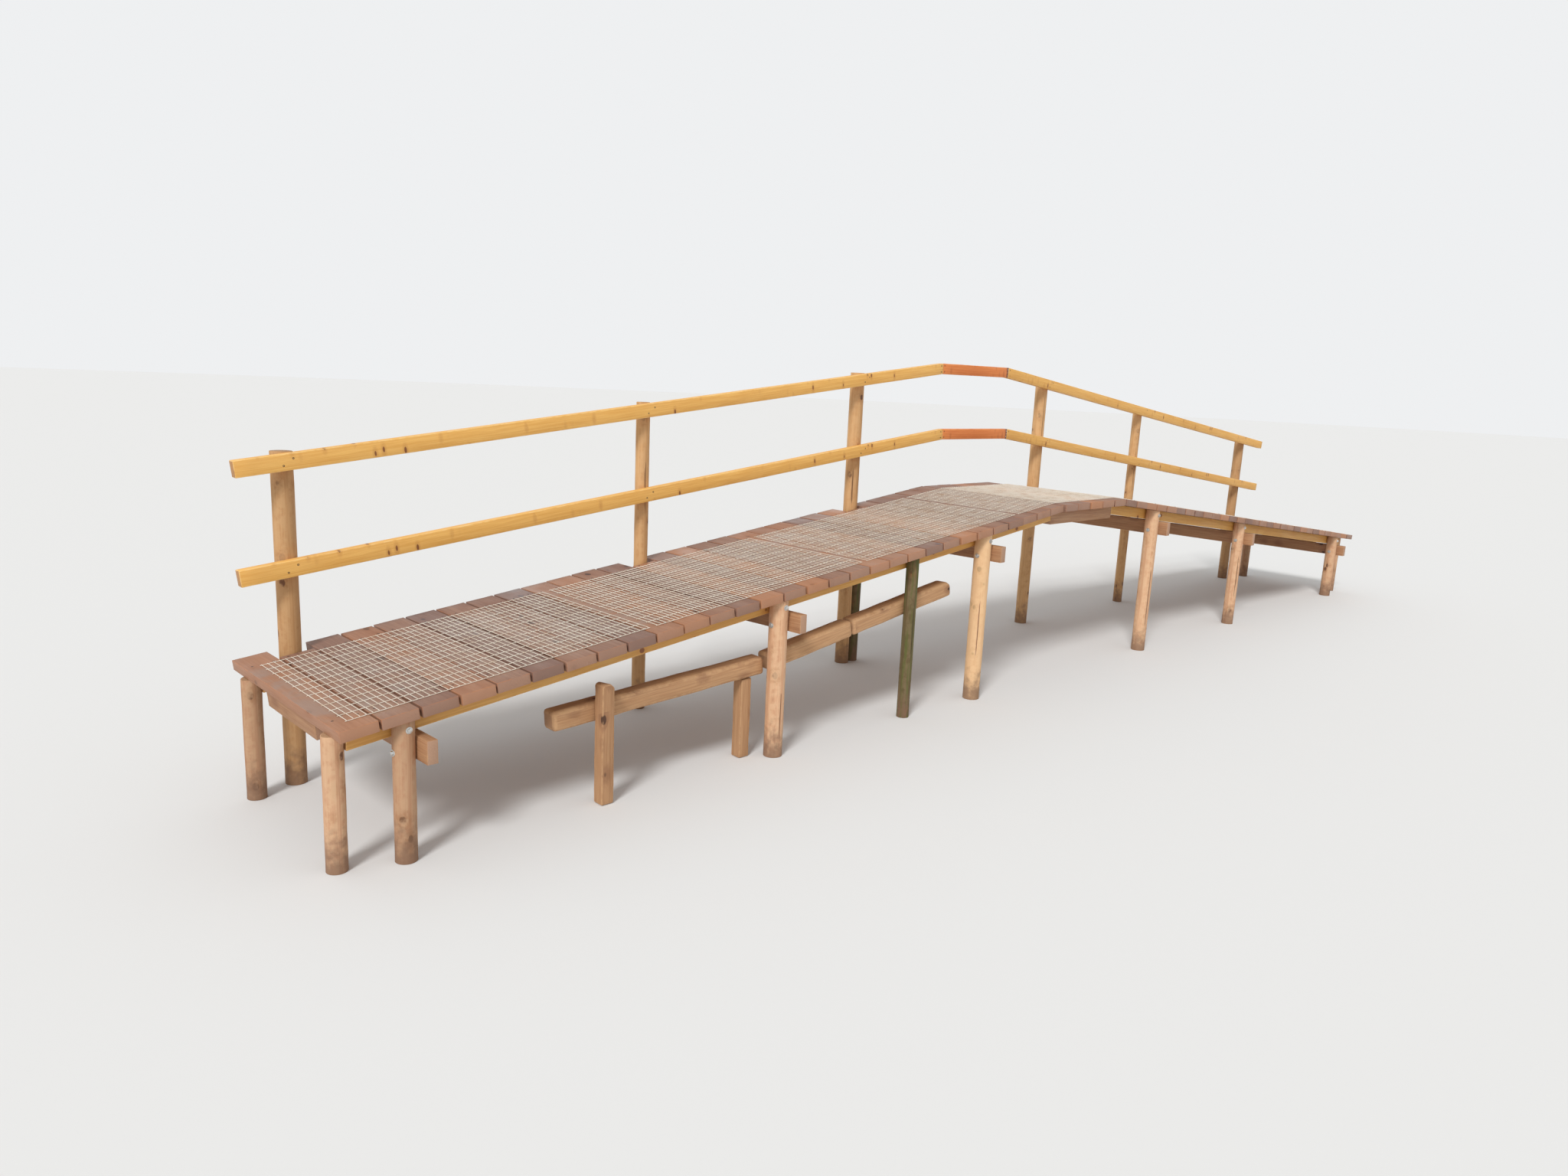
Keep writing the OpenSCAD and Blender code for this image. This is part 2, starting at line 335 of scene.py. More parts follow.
crack = {"width": 0.0034, "depth": 0.02, "wander": 0.005, "wanderSize": 0.14}


def crackTimber(timber, x, y, radius, angle, low, high):
    # a drying crack, cut by a long thin lens that stands in the timber's side
    lens = newPrimitive(
        bpy.ops.mesh.primitive_uv_sphere_add, segments=10, ring_count=28, radius=1,
        scale=(crack["depth"], crack["width"] / 2, (high - low) / 2), rotation=(0, 0, angle),
        location=(x + radius * cos(angle), y + radius * sin(angle), (low + high) / 2))
    cloudShift(lens, crack["wanderSize"], {"X": crack["wander"], "Y": crack["wander"]})
    cut = timber.modifiers.new("crack", "BOOLEAN")
    cut.operation = "DIFFERENCE"
    cut.object = lens
    cut.solver = "EXACT"
    applyModifiers(timber)
    removeAll(lens)


# Materials: colours are written as they are read off a screen, 0 to 255


def tint(colour):
    # such a colour for a socket, while a socket's own output passes as it is
    if not isinstance(colour, tuple):
        return colour
    channels = [channel / 255 for channel in colour]
    return (*[c / 12.92 if c < 0.04045 else ((c + 0.055) / 1.055) ** 2.4 for c in channels], 1)


def newMaterial(name):
    material = bpy.data.materials.new(name)
    material.use_nodes = True
    return material, material.node_tree, material.node_tree.nodes["Principled BSDF"]


def addNode(tree, kind, inputs, **settings):
    node = tree.nodes.new(kind)
    for key, value in settings.items():
        setattr(node, key, value)
    for key, value in inputs.items():
        if isinstance(value, bpy.types.NodeSocket):
            tree.links.new(value, node.inputs[key])
        else:
            node.inputs[key].default_value = value
    return node


def attribute(tree, name, output):
    return addNode(tree, "ShaderNodeAttribute", {}, attribute_name=name).outputs[output]


def objectPlace(tree):
    return addNode(tree, "ShaderNodeTexCoord", {}).outputs["Object"]


def calc(tree, operation, *values):
    node = addNode(tree, "ShaderNodeMath", dict(enumerate(values)), operation=operation)
    return node.outputs[0]


def times(tree, *values):
    product = values[0]
    for value in values[1:]:
        product = calc(tree, "MULTIPLY", product, value)
    return product


def mixTint(tree, share, one, other, blend="MIX"):
    inputs = {0: share, 6: tint(one), 7: tint(other)}
    node = addNode(tree, "ShaderNodeMix", inputs, data_type="RGBA", blend_type=blend, clamp_factor=True)
    return node.outputs[2]


def axesOf(tree, where):
    return addNode(tree, "ShaderNodeSeparateXYZ", {0: where}).outputs


def stretch(tree, where, factors):
    inputs = {0: where, 1: factors}
    return addNode(tree, "ShaderNodeVectorMath", inputs, operation="MULTIPLY").outputs[0]


def noise(tree, where, scale=1.0, detail=4.0, rough=0.55):
    inputs = {"Vector": where, "Scale": scale, "Detail": detail, "Roughness": rough}
    return addNode(tree, "ShaderNodeTexNoise", inputs).outputs[0]


def band(tree, value, low, high, start=0.0, end=1.0):
    # goes smoothly from start to end as the value goes from low to high
    inputs = {0: value, 1: low, 2: high, 3: start, 4: end}
    node = addNode(tree, "ShaderNodeMapRange", inputs, interpolation_type="SMOOTHSTEP", clamp=True)
    return node.outputs[0]


def thinLines(tree, value, width):
    # lines where a noise passes its middle value
    off = calc(tree, "ABSOLUTE", calc(tree, "SUBTRACT", value, 0.5))
    return band(tree, off, 0.0, width, 1, 0)


def growthRings(tree, grain, look, halo):
    inputs = {
        "Vector": stretch(tree, grain, (0.05, 1, 1)),
        "Scale": 0.314 / look["ringWidth"],
        "Distortion": look["ringWander"],
        "Detail": 2,
        "Detail Scale": 0.12,
        "Detail Roughness": 0.5,
        "Phase Offset": calc(tree, "MULTIPLY", halo, 9.0),
    }
    settings = {"wave_type": "RINGS", "rings_direction": "X", "wave_profile": "SAW"}
    return addNode(tree, "ShaderNodeTexWave", inputs, **settings).outputs[1]


def knotCells(tree, grain, stretching):
    inputs = {"Vector": stretch(tree, grain, stretching), "Scale": 1.0}
    node = addNode(tree, "ShaderNodeTexVoronoi", inputs, feature="F1")
    chance = addNode(tree, "ShaderNodeSeparateColor", {0: node.outputs["Color"]}).outputs[0]
    return node.outputs["Distance"], chance


def dryingLines(tree, grain):
    # fine cracks along the grain, in patches
    lines = noise(tree, stretch(tree, grain, (2.2, 90, 90)), detail=2, rough=0.4)
    patches = band(tree, noise(tree, stretch(tree, grain, (1.6, 9, 9)), detail=2), 0.48, 0.62)
    return times(tree, thinLines(tree, lines, 0.012), patches)


def endCracks(tree, grain, cutEnd):
    # cracks that run out from the heart on the cut ends
    parts = axesOf(tree, grain)
    angle = calc(tree, "ARCTAN2", parts[2], parts[1])
    inputs = {"W": calc(tree, "MULTIPLY", angle, 4.0), "Detail": 2.0}
    node = addNode(tree, "ShaderNodeTexNoise", inputs, noise_dimensions="1D")
    return times(tree, thinLines(tree, node.outputs[0], 0.02), cutEnd)


# The wood's figure, alike on all timber: how its patterns stretch along and across the grain, and
# how strongly each layer shows
figure = {
    "streaks": (4, 120, 120),
    "fibres": (14, 620, 620),
    "blotches": (1.7, 8, 8),
    "haloReach": 2.6,  # in knots
    "haloShow": 0.45,
    "endShow": 0.85,
    "wornShow": 0.7,
    "openShow": 0.75,
    "fibreShow": 0.35,
    "bumpDepth": 0.0015,
}


def timberMaterial(name, look, dress=None):
    material, tree, shader = newMaterial(name)
    grain = attribute(tree, "grain", "Vector")
    tone = attribute(tree, "tone", "Fac")
    cutEnd = attribute(tree, "cutEnd", "Fac")
    place = objectPlace(tree)

    cells, chance = knotCells(tree, grain, look["knotStretch"])
    chosen = calc(tree, "GREATER_THAN", chance, 1 - look["knotShare"])
    knotSize = look["knotSize"]
    knots = times(tree, chosen, band(tree, cells, knotSize, knotSize * 0.7))
    halo = times(tree, chosen, band(tree, cells, knotSize * figure["haloReach"], knotSize))
    rings = growthRings(tree, grain, look, halo)
    streaks = noise(tree, stretch(tree, grain, figure["streaks"]), detail=5, rough=0.6)
    fibres = noise(tree, stretch(tree, grain, figure["fibres"]), detail=3)
    blotches = noise(tree, stretch(tree, grain, figure["blotches"]), detail=4)
    cracks = times(tree, dryingLines(tree, grain), look["crackShow"])
    splits = times(tree, endCracks(tree, grain, cutEnd), look["splitShow"])
    openings = calc(tree, "MAXIMUM", cracks, splits)
    rubbed = band(tree, noise(tree, place, 30, 3), 0.35, 0.6)
    endTint = mixTint(tree, times(tree, rings, look["endRings"]), look["end"], look["endRing"])

    colour = mixTint(tree, band(tree, streaks, 0.3, 0.7), look["pale"], look["warm"])
    for share, strength, layer in (
            (rings, look["ringShow"], look["ring"]),
            (band(tree, blotches, 0.45, 0.75), look["blotchShow"], look["blotch"]),
            (halo, figure["haloShow"], look["halo"]),
            (knots, 1, look["knot"]),
            (cutEnd, figure["endShow"], endTint),
            (times(tree, attribute(tree, "worn", "Fac"), rubbed), figure["wornShow"], look["worn"]),
            (openings, figure["openShow"], look["crack"])):
        colour = mixTint(tree, times(tree, share, strength), colour, layer)
    colour = mixTint(tree, times(tree, fibres, figure["fibreShow"]), colour, look["fibre"], "MULTIPLY")
    for end, layer in ((1.0, look["lightTone"]), (0.0, look["darkTone"])):
        share = times(tree, band(tree, tone, 0.5, end), look["toneShow"])
        colour = mixTint(tree, share, colour, layer)
    rough = band(tree, blotches, 0.3, 0.7, *look["rough"])
    if dress:
        colour, rough = dress(tree, colour, rough, place, grain)
    tree.links.new(colour, shader.inputs["Base Color"])
    tree.links.new(rough, shader.inputs["Roughness"])

    height = calc(tree, "ADD", times(tree, streaks, 0.5), times(tree, fibres, 0.25))
    height = calc(tree, "ADD", height, times(tree, rings, 0.35))
    height = calc(tree, "SUBTRACT", height, openings)
    raiseSurface(tree, shader, height, look["bump"], figure["bumpDepth"])
    return material


def raiseSurface(tree, shader, height, strength, depth):
    bump = addNode(tree, "ShaderNodeBump", {"Height": height, "Strength": strength, "Distance": depth})
    tree.links.new(bump.outputs[0], shader.inputs["Normal"])


deckLook = {
    "pale": (162, 124, 102), "warm": (140, 102, 82), "ring": (114, 80, 62), "ringShow": 0.3,
    "ringWidth": 0.0042, "ringWander": 3.0,
    "blotch": (134, 100, 86), "blotchShow": 0.45, "halo": (124, 78, 56),
    "knot": (62, 38, 30), "knotStretch": (7, 12, 12), "knotSize": 0.2, "knotShare": 0.4,
    "end": (176, 136, 112), "endRing": (138, 98, 80), "endRings": 0.22,
    "crack": (44, 28, 22), "crackShow": 0.6, "splitShow": 0.12, "fibre": (206, 192, 182),
    "worn": (184, 122, 84), "lightTone": (192, 130, 86), "darkTone": (108, 84, 78), "toneShow": 0.55,
    "rough": (0.5, 0.8), "bump": 0.5,
}
postLook = {
    "pale": (222, 178, 124), "warm": (204, 156, 104), "ring": (178, 128, 82), "ringShow": 0.22,
    "ringWidth": 0.0040, "ringWander": 3.5,
    "blotch": (168, 124, 84), "blotchShow": 0.4, "halo": (168, 118, 74),
    "knot": (104, 66, 42), "knotStretch": (9, 12, 12), "knotSize": 0.2, "knotShare": 0.45,
    "end": (196, 160, 122), "endRing": (150, 112, 80), "endRings": 0.5,
    "crack": (74, 48, 32), "crackShow": 0.3, "splitShow": 0.6, "fibre": (214, 198, 180),
    "worn": (216, 174, 124), "lightTone": (240, 200, 148), "darkTone": (134, 96, 66), "toneShow": 0.7,
    "rough": (0.6, 0.82), "bump": 0.5,
}
railLook = {
    "pale": (252, 202, 114), "warm": (236, 178, 88), "ring": (208, 148, 74), "ringShow": 0.3,
    "ringWidth": 0.0050, "ringWander": 2.5,
    "blotch": (214, 158, 90), "blotchShow": 0.4, "halo": (206, 144, 74),
    "knot": (138, 84, 44), "knotStretch": (22, 9, 9), "knotSize": 0.16, "knotShare": 0.4,
    "end": (180, 130, 84), "endRing": (134, 92, 56), "endRings": 0.5,
    "crack": (120, 78, 44), "crackShow": 0.12, "splitShow": 0.5, "fibre": (232, 216, 196),
    "worn": (250, 212, 146), "lightTone": (248, 204, 128), "darkTone": (160, 112, 66), "toneShow": 0.6,
    "rough": (0.5, 0.7), "bump": 0.35,
}
stringerLook = dict(
    railLook, pale=(226, 176, 96), warm=(206, 150, 74), ring=(180, 124, 58), knotStretch=(9, 10, 10))
crestRailLook = dict(
    railLook, pale=(244, 154, 84), warm=(226, 130, 64), ring=(190, 98, 48), blotch=(196, 106, 52),
    halo=(178, 88, 42), worn=(248, 170, 104), lightTone=(236, 148, 84), darkTone=(150, 78, 40))
bearerLook = dict(
    deckLook, pale=(196, 152, 112), warm=(170, 122, 86), ring=(138, 94, 64), blotch=(150, 112, 82),
    end=(190, 152, 126), endRing=(150, 112, 88), worn=(198, 156, 116), lightTone=(198, 154, 112),
    darkTone=(120, 84, 62), crackShow=0.35)
pileLook = dict(
    postLook, pale=(228, 184, 146), warm=(208, 158, 122), ring=(180, 130, 98), blotch=(184, 138, 106),
    blotchShow=0.3, worn=(226, 188, 150))
oldPileLook = dict(
    postLook, pale=(120, 100, 66), warm=(98, 78, 50), ring=(76, 60, 38), crackShow=0.6,
    blotch=(86, 82, 44), blotchShow=0.8, end=(110, 92, 66), endRing=(74, 58, 40),
    worn=(124, 108, 76), lightTone=(130, 112, 76), darkTone=(74, 62, 42), rough=(0.7, 0.9), bump=0.9)
logLook = dict(
    deckLook, pale=(212, 168, 124), warm=(188, 142, 100), ring=(154, 110, 76), ringShow=0.2,
    blotch=(160, 120, 88), blotchShow=0.5, worn=(212, 170, 126), lightTone=(214, 170, 124),
    darkTone=(146, 106, 76), end=(186, 144, 108), endRing=(132, 96, 70), crackShow=0.25,
    splitShow=0.3, rough=(0.65, 0.9), bump=0.7)

mud = {"tint": (122, 92, 72), "show": 0.8, "foot": 0.16, "top": 0.36, "ragged": 0.3, "rough": 0.1}
moss = {"tint": (86, 92, 40), "show": 0.8, "stretch": (3, 34, 34)}
dust = {"tint": (150, 132, 122), "show": 0.6, "halfWidth": 0.46, "middle": -0.033, "wet": 0.25}
jointStain = {"tint": (92, 40, 24), "show": 0.85, "from": 0.022, "to": 0.004, "ragged": 0.02}


def muddyFoot(tree, colour, rough, place, grain):
    # mud splashed up the lowest part of a pile
    uneven = times(tree, noise(tree, place, 26, 4), mud["ragged"])
    height = calc(tree, "ADD", axesOf(tree, place)[2], uneven)
    share = times(tree, band(tree, height, mud["top"], mud["foot"]), mud["show"])
    rough = calc(tree, "ADD", rough, times(tree, share, mud["rough"]))
    return mixTint(tree, share, colour, mud["tint"]), rough


def mossyPile(tree, colour, rough, place, grain):
    colour, rough = muddyFoot(tree, colour, rough, place, grain)
    growth = noise(tree, stretch(tree, grain, moss["stretch"]), detail=5, rough=0.65)
    share = times(tree, band(tree, growth, 0.46, 0.62), moss["show"])
    return mixTint(tree, share, colour, moss["tint"]), rough


def troddenDeck(tree, colour, rough, place, grain):
    # dried mud under the wire mesh, bare and redder margins beside it
    off = calc(tree, "ABSOLUTE", calc(tree, "SUBTRACT", axesOf(tree, place)[1], dust["middle"]))
    inside = calc(tree, "SUBTRACT", dust["halfWidth"], off)
    normal = addNode(tree, "ShaderNodeNewGeometry", {}).outputs["Normal"]
    facesUp = band(tree, axesOf(tree, normal)[2], 0.6, 0.9)
    patches = band(tree, noise(tree, place, 9, 6, 0.65), 0.3, 0.62)
    share = times(tree, band(tree, inside, -0.02, 0.1), facesUp, patches, dust["show"])
    wet = times(tree, band(tree, noise(tree, place, 1.3, 3), 0.45, 0.6), dust["wet"])
    return mixTint(tree, share, colour, dust["tint"]), calc(tree, "SUBTRACT", rough, wet)


def stainedJoint(tree, colour, rough, place, grain):
    # a dark stain where the crest rails meet the right ramp's rails, further left on the top rail
    parts = axesOf(tree, place)
    back = band(tree, parts[2], 1.75, 1.85, rails["back"]["mid"], rails["back"]["top"])
    uneven = times(tree, noise(tree, place, 60, 3), jointStain["ragged"])
    along = calc(tree, "ADD", calc(tree, "ADD", parts[0], uneven), back)
    share = band(tree, along, bendX - jointStain["from"], bendX - jointStain["to"], 0, jointStain["show"])
    return mixTint(tree, share, colour, jointStain["tint"]), rough


def zincMaterial(name, bright, dull, dirt, shine=0.9):
    material, tree, shader = newMaterial(name)
    place = objectPlace(tree)
    spangle = addNode(tree, "ShaderNodeTexVoronoi", {"Vector": place, "Scale": 420.0}).outputs["Color"]
    flake = addNode(tree, "ShaderNodeSeparateColor", {0: spangle}).outputs[0]
    kept = band(tree, attribute(tree, "tone", "Fac"), 1.0, 0.0, 0.45, 1.0)
    grime = times(tree, band(tree, noise(tree, place, 14, 5, 0.65), 0.42, 0.72), kept)
    colour = mixTint(tree, grime, mixTint(tree, flake, bright, dull), dirt)
    tree.links.new(colour, shader.inputs["Base Color"])
    tree.links.new(band(tree, grime, 0, 1, 0.36, 0.75), shader.inputs["Roughness"])
    tree.links.new(band(tree, grime, 0, 1, shine, 0.15), shader.inputs["Metallic"])
    raiseSurface(tree, shader, flake, 0.15, 0.0004)
    return material


def makeMaterials():
    return {
        "deck": timberMaterial("trodden deck board", deckLook, troddenDeck),
        "stringer": timberMaterial("sawn stringer", stringerLook),
        "bearer": timberMaterial("weathered bearer", bearerLook),
        "post": timberMaterial("turned post", postLook, muddyFoot),
        "pile": timberMaterial("turned pile", pileLook, muddyFoot),
        "oldPile": timberMaterial("mossy old pile", oldPileLook, mossyPile),
        "rail": timberMaterial("planed rail", railLook),
        "crestRail": timberMaterial("red planed rail", crestRailLook, stainedJoint),
        "log": timberMaterial("muddy edging log", logLook),
        "wire": zincMaterial(
            "galvanised wire", (250, 244, 230), (236, 228, 212), (214, 194, 170), shine=0.2),
        "zinc": zincMaterial("zinc fixings", (222, 222, 218), (198, 200, 198), (120, 100, 84)),
        "darkSteel": zincMaterial("dark screws", (92, 84, 78), (70, 60, 54), (64, 46, 36)),
    }


# Deck boards

boards = {
    "shape": {"edge": 0.003, "spacing": 0.07, "across": 5, "heart": (0.01, -0.09), "seed": 3},
    "postClearance": 0.005,
    "endShift": 0.006,  # how far a board's ends stand off the line
    "sink": 0.0015,
    "narrowest": 0.985,  # a share of the full width
    "turn": radians(0.12),
    "grainMove": (80, 0.03),  # along the timber and aside, to the next plank
    "grainDepth": 0.12,
    "wear": 0.002,
    "wearSize": 0.11,
    "seed": 11,
}


def meetsPost(low, high):
    for k in trestles:
        postLow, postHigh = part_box(f"rail_post_{k}")
        if low < postHigh.x + boards["postClearance"] and high > postLow.x - boards["postClearance"]:
            return True
    return False


def modelBoard(rear):
    low, high = (-halfBoard, deckFront, -boardThickness), (halfBoard, rear, 0)
    return sawnTimber(low, high, 1, **boards["shape"])


def layBoards(part, starts, name, node):
    # starts are the places of the boards' middles along the part
    rnd = Random(boards["seed"] + len(name))
    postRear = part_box("rail_post_1")[0].y - boards["postClearance"]
    whole, short = modelBoard(deckRear), modelBoard(postRear)
    laid = []
    for x in starts:
        plan = deckParts[part][0] + x * cos(deckParts[part][1])
        board = copyOf(short if meetsPost(plan - halfBoard, plan + halfBoard) else whole)
        rnd.choice((0, pi))  # not used, but the draws below follow it
        lean = rnd.uniform(-boards["turn"], boards["turn"])
        endwise = rnd.uniform(-boards["endShift"], boards["endShift"])
        shift = Vector((x, endwise, -rnd.uniform(0, boards["sink"])))
        wide = Matrix.Diagonal((rnd.uniform(boards["narrowest"], 1.0), 1, 1, 1))
        board.data.transform(Matrix.Translation(shift) @ Matrix.Rotation(lean, 4, "Z") @ wide)
        moveGrain(board, rnd)
        setTone(board, rnd.uniform(0.05, 0.95))
        laid.append(board)
    removeAll(whole, short)
    deck = joinAll(laid, name)
    placeBy(deck, deckSpace(part))
    weather(deck, boards)
    finishPiece(deck, "deck", [node])


def moveGrain(obj, rnd):
    # another plank from the same saw: other grain, with the heart on a random side
    far, aside = boards["grainMove"]
    along, sideways = rnd.uniform(0, far), rnd.uniform(-aside, aside)
    facing = rnd.choice((-1, 1))
    lift = 0 if facing > 0 else boards["grainDepth"]
    for value in obj.data.attributes["grain"].data:
        x, y, z = value.vector
        value.vector = (x + along, y + sideways, z * facing + lift)


def makeDeck():
    rampStarts = [i * pitch + halfBoard for i in range(deckPlan["rampBoards"])]
    crestStarts = [(i + 0.5) * pitch - bendX for i in range(deckPlan["crestBoards"])]
    layBoards("left", [x - rampLength for x in rampStarts], "boards_left_ramp", "left_ramp_boards")
    layBoards("crest", crestStarts, "boards_crest", "crest_boards_deck")
    layBoards("right", [rampLength - x for x in rampStarts], "boards_right_ramp", "right_ramp_boards")
    print("deck boards laid")


# Rails and stringers, mitred at the bends along the line that halves the angle

towardsLeft = (-cos(slope / 2), 0, -sin(slope / 2))
towardsRight = (cos(slope / 2), 0, -sin(slope / 2))
mitres = {
    "left": [((0, 0, 0), towardsRight)],
    "right": [((0, 0, 0), towardsLeft)],
    "crest": [((-bendX, 0, 0), towardsLeft), ((bendX, 0, 0), towardsRight)],
}
spare = 0.02  # length that the mitres take off
reach = {
    "left": (-rampLength, spare),
    "crest": (-bendX - spare, bendX + spare),
    "right": (-spare, rampLength),
}


def longTimber(part, y0, y1, low, high, rise, cuts=(), back=0, **shape):
    # follows one part of the deck, with its mitres at the bends or that far back from them
    x0, x1 = reach[part]
    if part != "crest":
        x0, x1 = (x0 + back, x1) if part == "left" else (x0, x1 + back)
    into = deckSpace(part, rise)
    out = into.inverted()
    local = [(out @ Vector(place), out.to_3x3() @ Vector(away)) for place, away in cuts]
    timber = sawnTimber((x0, y0, low), (x1, y1, high), 0, [*mitres[part], *local], **shape)
    placeBy(timber, Matrix.Translation((-back, 0, 0)) @ into)
    return timber


rails = {
    "edge": 0.004,
    "heart": (0.02, -0.05),
    "wear": 0.0012,
    "wearSize": 0.2,
    # the right ramp's rails take a lower tone: painted shade, darkened as if they stood in shade
    "tones": {"left": 0.52, "crest": 0.5, "right": 0.4},
    "back": {"top": 0.072, "mid": 0.024},  # how far left of the deck's bends they bend
}


def railTop(level, x):
    return deckTop(x + rails["back"][level]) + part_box(f"{level}_rail_crest")[1].z - crestTop


def makeRails():
    for level, back in rails["back"].items():
        low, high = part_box(f"{level}_rail_crest")
        for part, tone in rails["tones"].items():
            rail = longTimber(
                part, low.y, high.y, low.z - high.z, 0, high.z - crestTop, back=back, edge=rails["edge"],
                spacing=0.08, tone=tone, heart=rails["heart"], seed=len(level + part) + 7 * len(part))
            finishTimber(rail, f"{level}_rail_{part}", "crestRail" if part == "crest" else "rail", rails)
    print("rails made")


stringers = {"width": 0.075, "rampDepth": 0.075, "edge": 0.003, "wear": 0.0015, "wearSize": 0.2}
stringerRows = (frontSeat + stringers["width"] / 2, rearSeat - stringers["width"] / 2)


def makeStringers():
    ends = [((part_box("left_front_stringer")[0].x, 0, 0), (-1, 0, 0)),
            ((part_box("right_front_stringer")[1].x, 0, 0), (1, 0, 0))]
    for row in ("front", "rear"):
        for part in deckParts:
            node = f"{part}_{row}_stringer"
            low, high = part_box(node)
            depth = crestTop - boardThickness - low.z if part == "crest" else stringers["rampDepth"]
            timber = longTimber(
                part, low.y, high.y, -boardThickness - depth, -boardThickness, 0, ends,
                edge=stringers["edge"], spacing=0.1, seed=len(node))
            finishTimber(timber, node, "bearer" if part == "crest" else "stringer", stringers)
    print("stringers made")


# Posts and piles: each one's tone, then its cracks: the side that they face in degrees, and their
# low and high end. The low tones of posts 1 and 6 are painted shade.

uprights = {
    "rail_post_1": (0.3, [(30, 0.2, 0.9)]),
    "rail_post_2": (0.5, [(262, 1.18, 1.44), (120, 0.5, 1.3)]),
    "rail_post_3": (0.45, [(230, 1.12, 1.34), (75, 0.6, 1.2)]),
    "rail_post_4": (0.62, [(256, 1.52, 1.86), (60, 0.9, 1.7)]),
    "rail_post_5": (0.5, [(244, 1.05, 1.4)]),
    "rail_post_6": (0.25, [(265, 0.95, 1.25), (100, 0.3, 0.8)]),
    "front_pile_1": (0.2, []),
    "front_pile_2": (0.5, [(266, 0.12, 0.34), (110, 0.3, 0.6)]),
    "front_pile_3": (0.85, [(228, 0.3, 0.62)]),
    "front_pile_4": (0.6, [(250, 0.2, 0.62)]),
    "front_pile_5": (0.45, [(238, 0.25, 0.6)]),
    "front_pile_6": (0.35, []),
    "prop_pile": (0.5, [(262, 0.35, 0.7)]),
    "old_rear_pile": (0.3, []),
}


def undersideCut(x):
    # along the boards' underside
    side = -1 if x < 0 else 1
    away = Vector((side * sin(slope), 0, cos(slope)))
    return (Vector((side * bendX, 0, crestTop)) - away * boardThickness, away)


def makePost(node, look, trimmed):
    middle, radius = roundPlace(node)
    tone, cracks = uprights[node]
    cuts = [undersideCut(middle.x)] if trimmed else []
    seed = len(node) * 7 + ord(node[-1])
    post = roundTimber(middle.x, middle.y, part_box(node)[1].z, radius, cuts, cracks, tone, seed)
    finishTimber(post, node, look)


def makePosts():
    for k in trestles:
        makePost(f"rail_post_{k}", "post", False)
        makePost(f"front_pile_{k}", "pile", True)
    makePost("prop_pile", "oldPile", True)
    makePost("old_rear_pile", "oldPile", False)
    print("posts and piles made")


# Bearers, end blocks, end piles and the plates at the bends

crossTimber = {
    "thickness": 0.047,
    "seat": 0.006,  # how far it is let into a pile
    "reach": (-0.3, 1.4),  # before it is cut to length
    "edge": 0.004,
    "wear": 0.0022,
    "wearSize": 0.12,
}


def seatOf(node):
    # where a bearer's left face crosses the line through the middle of its pile or post
    middle, radius = roundPlace(node)
    return middle + Vector((radius - crossTimber["seat"], 0, 0))


def makeBearers():
    for k in trestles:
        node = f"bearer_{k}"
        low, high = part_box(node)
        start, finish = seatOf(f"front_pile_{k}"), seatOf(f"rail_post_{k}")
        skew = atan2(start.x - finish.x, finish.y - start.y)
        into = Matrix.Translation(start) @ Matrix.Rotation(skew, 4, "Z")
        out = into.inverted()
        cuts = [(out @ Vector((0, y, 0)), out.to_3x3() @ Vector((0, away, 0)))
                for y, away in ((low.y, -1), (high.y, 1))]
        near, far = crossTimber["reach"]
        bearer = sawnTimber(
            (0, near, low.z), (crossTimber["thickness"], far, high.z), 1, cuts, edge=crossTimber["edge"],
            across=2, tone=0.4 + 0.1 * (k % 3), seed=40 + k)
        placeBy(bearer, into)
        finishTimber(bearer, node, "bearer", crossTimber)
    print("bearers made")


endPieces = {
    "blockInset": 0.023,
    "blockLength": 0.54,
    "blockDepth": 0.09,
    "blockTone": 0.35,
    "pileTones": (0.35, 0.2),
}


def makeEnds():
    width = stringers["width"]
    far = rampLength - endPieces["blockInset"]
    half = endPieces["blockLength"] / 2
    for part, side in (("left", -1), ("right", 1)):
        x0, x1 = (far - width, far) if side > 0 else (-far, width - far)
        block = sawnTimber(
            (x0, -half, -boardThickness - endPieces["blockDepth"]), (x1, half, -boardThickness), 1,
            edge=crossTimber["edge"], across=2, tone=endPieces["blockTone"], seed=len(part))
        placeBy(block, deckSpace(part))
        finishTimber(block, f"{part}_end_block", "bearer", crossTimber)
        low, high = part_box(f"{part}_end_piles")
        radius = stringerRows[0] - low.y
        x = low.x + radius if side < 0 else high.x - radius
        piles = [
            roundTimber(x, y, deckTop(x), radius, [undersideCut(x)], tone=tone, seed=int(90 * abs(y)))
            for y, tone in zip(stringerRows, endPieces["pileTones"])]
        node = f"{part}_end_piles"
        finishPiece(joinAll(piles, f"{node}_timber"), "pile", [node])
    print("ends made")


splices = {"length": 0.5, "thickness": 0.035, "depth": 0.075, "tone": 0.4, "wear": 0.0015, "wearSize": 0.1}


def makeSplices():
    plates = []
    half = splices["length"] / 2
    low, high = -boardThickness - splices["depth"], -boardThickness
    width, thickness = stringers["width"], splices["thickness"]
    for side in (-1, 1):
        for y in (frontSeat + width, rearSeat - width - thickness):
            plate = sawnTimber(
                (-half, y, low), (half, y + thickness, high), 0, spacing=0.04, tone=splices["tone"],
                seed=int(y * 50) + 60)
            turnDown(plate, side, 0.001, (0, 0, 0))
            placeBy(plate, Matrix.Translation((side * bendX, 0, crestTop)))
            plates.append(plate)
    joined = joinAll(plates, "splice_plates")
    weather(joined, splices)
    finishPiece(joined, "bearer", ["stringer_splices"])
    print("splice plates made")


# Edging logs and pegs

